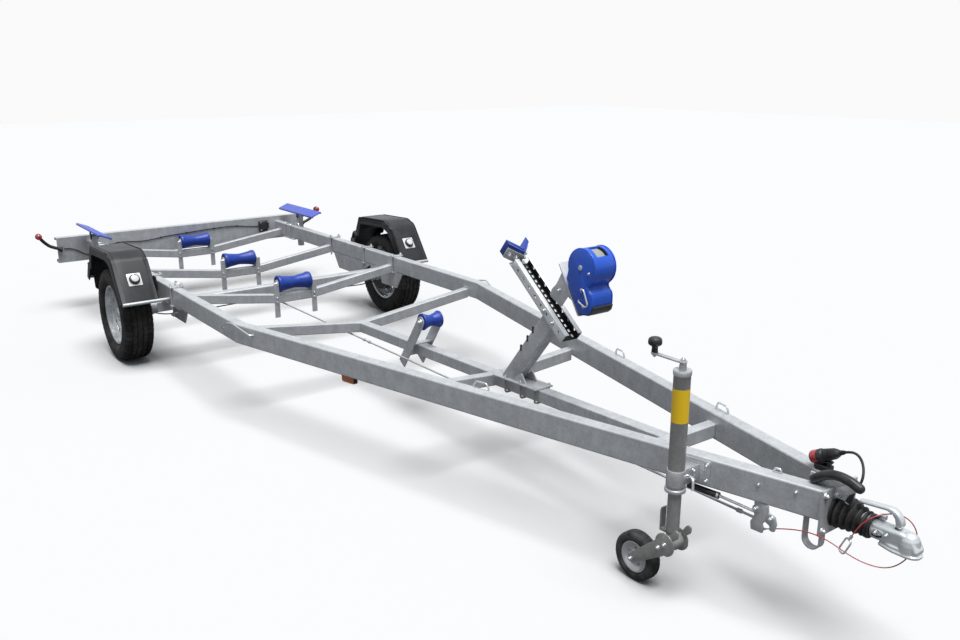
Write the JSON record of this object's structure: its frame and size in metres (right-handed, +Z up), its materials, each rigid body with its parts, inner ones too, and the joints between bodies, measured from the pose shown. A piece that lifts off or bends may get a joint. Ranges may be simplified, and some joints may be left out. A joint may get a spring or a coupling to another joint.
{
  "type": "boat trailer",
  "caption": "Single-axle galvanised boat trailer with tapering drawbar, keel rollers, bilge pads, winch stand, light bar and jockey wheel.",
  "frame": {"origin": "on the ground, below the middle of the overall length and width", "axes": "+X forward to the coupling, +Y to the left, +Z up"},
  "size_m": [6.5109, 2.4278, 1.154],
  "materials": {
    "galvanised": "dull hot-dip zinc",
    "black_steel": "satin black",
    "coupling_steel": "bright zinc",
    "rim_silver": "satin silver",
    "tyre": "matt",
    "jockey_rubber": "matt",
    "guard_plastic": "matt moulded",
    "lens_white": "clear lens",
    "lens_red": "clear lens",
    "lens_amber": "clear lens",
    "blue_rubber": "satin",
    "blue_plastic": "satin",
    "black_rubber": "matt",
    "black_plastic": "satin",
    "red_cable": "plastic sheath",
    "zinc": "bright zinc"
  },
  "bodies": {
    "chassis": {"axle": "galvanised", "axle_brackets": "galvanised", "backbone": "galvanised", "bellows": "black_rubber", "bilge_posts": "galvanised", "bow_stop": "blue_rubber", "bow_stop_bracket": "galvanised", "brake_linkage": "galvanised", "brake_spring": "black_steel", "breakaway_cable": "red_cable", "coupling_handle": "coupling_steel", "coupling_head": "coupling_steel", "crank_knob": "black_plastic", "cross_tubes": "galvanised", "drawbar_head": "galvanised", "front_cross_tube": "galvanised", "front_roller_bracket": "galvanised", "handbrake_lever": "black_plastic", "hook_strap": "galvanised", "jack_clamp": "galvanised", "jack_crank": "galvanised", "jack_tube": "galvanised", "junction_box": "black_plastic", "lamp_cable": "black_rubber", "left_beam": "galvanised", "left_mudguard": "guard_plastic", "light_bar": "galvanised", "marker_lamps": "lens_white", "middle_cross_arms": "galvanised", "mudguard_stays": "galvanised", "outline_lamp_arms": "black_rubber", "outline_lamps": "lens_red", "plug": "black_plastic", "plug_cable": "black_rubber", "plug_holder": "black_plastic", "rear_lamps": "lens_red", "right_beam": "galvanised", "right_mudguard": "guard_plastic", "roller_brackets": "galvanised", "side_marker_lamps": "lens_amber", "snap_hook": "zinc", "winch": "blue_plastic", "winch_bracket": "galvanised", "winch_post": "galvanised", "winch_rail": "galvanised"},
    "left_wheel": {"left_rim": "rim_silver", "left_tyre": "tyre"},
    "right_wheel": {"right_rim": "rim_silver", "right_tyre": "tyre"},
    "keel_roller_1": {"keel_roller_1": "blue_rubber"},
    "keel_roller_2": {"keel_roller_2": "blue_rubber"},
    "keel_roller_3": {"keel_roller_3": "blue_rubber"},
    "keel_roller_4": {"keel_roller_4": "blue_rubber"},
    "left_bilge_pad": {"left_bilge_pad": "blue_plastic"},
    "right_bilge_pad": {"right_bilge_pad": "blue_plastic"},
    "jack_leg": {"jack_leg": "galvanised"},
    "jockey_fork": {"jockey_fork": "galvanised"},
    "jockey_wheel": {"jockey_rim": "rim_silver", "jockey_tyre": "jockey_rubber"}
  },
  "joints": [
    {"name": "left_wheel", "type": "hinge", "parent": "chassis", "child": "left_wheel", "pos_m": [-1.5695, 1.0205, 0.308], "axis": [0, 1, 0], "continuous": true},
    {"name": "right_wheel", "type": "hinge", "parent": "chassis", "child": "right_wheel", "pos_m": [-1.5695, -1.0205, 0.308], "axis": [0, 1, 0], "continuous": true},
    {"name": "keel_roller_1", "type": "hinge", "parent": "chassis", "child": "keel_roller_1", "pos_m": [-3.0795, 0, 0.452], "axis": [0, 1, 0], "continuous": true},
    {"name": "keel_roller_2", "type": "hinge", "parent": "chassis", "child": "keel_roller_2", "pos_m": [-2.1195, 0, 0.452], "axis": [0, 1, 0], "continuous": true},
    {"name": "keel_roller_3", "type": "hinge", "parent": "chassis", "child": "keel_roller_3", "pos_m": [-1.1695, 0, 0.452], "axis": [0, 1, 0], "continuous": true},
    {"name": "keel_roller_4", "type": "hinge", "parent": "chassis", "child": "keel_roller_4", "pos_m": [0.5225, 0, 0.556], "axis": [0, 1, 0], "continuous": true},
    {"name": "left_bilge_tilt", "type": "hinge", "parent": "chassis", "child": "left_bilge_pad", "pos_m": [-2.8245, 0.862, 0.618], "axis": [0, 1, 0], "range_deg": [-6, 6]},
    {"name": "right_bilge_tilt", "type": "hinge", "parent": "chassis", "child": "right_bilge_pad", "pos_m": [-2.8245, -0.862, 0.618], "axis": [0, 1, 0], "range_deg": [-6, 6]},
    {"name": "jack_height", "type": "slide", "parent": "chassis", "child": "jack_leg", "axis": [0, 0, 1], "range_m": [-0.09, 0.14]},
    {"name": "jockey_swivel", "type": "hinge", "parent": "jack_leg", "child": "jockey_fork", "pos_m": [2.5135, -0.293, 0.266], "axis": [0, 0, 1], "continuous": true},
    {"name": "jockey_wheel", "type": "hinge", "parent": "jockey_fork", "child": "jockey_wheel", "pos_m": [2.3535, -0.293, 0.096], "axis": [0, 1, 0], "continuous": true}
  ]
}
